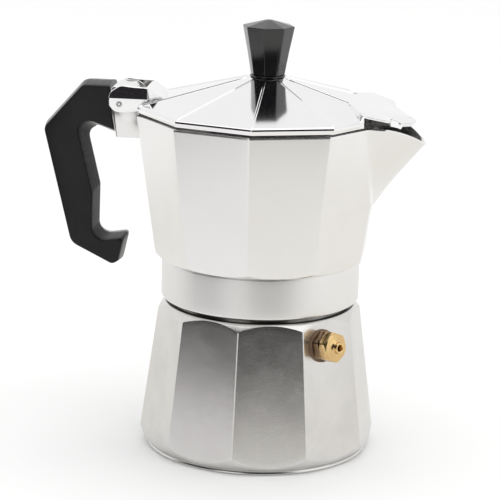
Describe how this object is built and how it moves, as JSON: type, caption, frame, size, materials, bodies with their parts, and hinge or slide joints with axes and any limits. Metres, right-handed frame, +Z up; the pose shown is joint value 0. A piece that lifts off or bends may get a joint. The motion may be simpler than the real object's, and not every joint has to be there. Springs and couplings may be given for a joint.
{
  "type": "moka pot",
  "caption": "Stovetop moka pot with a faceted aluminium boiler and pouring jug, hinged lid, black handle and knob, and a brass safety valve.",
  "frame": {"origin": "centre of the boiler's flat underside, where the pot stands", "axes": "+Z up along the pot's axis, +X towards the spout, handle and lid hinge on the -X side, +Y completes the right-handed frame"},
  "size_m": [0.1389, 0.094, 0.1575],
  "materials": {
    "cast_aluminium": "satin, fine sand-blast grain",
    "polished_aluminium": "polished",
    "spun_aluminium": "brushed",
    "brass": "turned, bright",
    "fibre_washer": "matte",
    "steel": "bright zinc",
    "silicone": "matte",
    "black_plastic": "satin moulded phenolic",
    "knob_plastic": "semi-gloss moulded phenolic"
  },
  "bodies": {
    "boiler": {"boiler": "cast_aluminium", "valve_washer": "fibre_washer", "valve_body": "brass", "valve_cap": "brass", "valve_spring": "steel"},
    "valve_plunger": {"valve_plunger": "brass"},
    "funnel": {"funnel_basket": "spun_aluminium", "funnel_stem": "spun_aluminium", "funnel_screen": "spun_aluminium"},
    "seals": {"gasket": "silicone", "filter_plate": "spun_aluminium"},
    "jug": {"jug": "cast_aluminium", "coffee_column": "cast_aluminium", "hinge_pin": "steel", "handle": "black_plastic", "handle_screw": "steel"},
    "lid": {"lid": "polished_aluminium", "lid_knob": "knob_plastic", "knob_washer": "knob_plastic", "knob_screw": "steel"}
  },
  "joints": [
    {"name": "jug_lift", "type": "slide", "parent": "boiler", "child": "seals", "axis": [0, 0, 1], "range_m": [0, 0.16]},
    {"name": "jug_turn", "type": "hinge", "parent": "seals", "child": "jug", "pos_m": [0, 0, 0.06], "axis": [0, 0, 1], "range_deg": [0, 540]},
    {"name": "lid_hinge", "type": "hinge", "parent": "jug", "child": "lid", "pos_m": [-0.0513, 0, 0.1263], "axis": [0, -1, 0], "range_deg": [0, 105]},
    {"name": "funnel_lift", "type": "slide", "parent": "boiler", "child": "funnel", "axis": [0, 0, 1], "range_m": [0, 0.08]},
    {"name": "valve_lift", "type": "slide", "parent": "boiler", "child": "valve_plunger", "axis": [0.7486, -0.6508, 0.1265], "range_m": [0, 0.0012], "stiffness_N_per_m": 400}
  ],
  "couplings": [
    {"joint": "funnel_lift", "follows": "jug_lift", "ratio": 0.5}
  ]
}
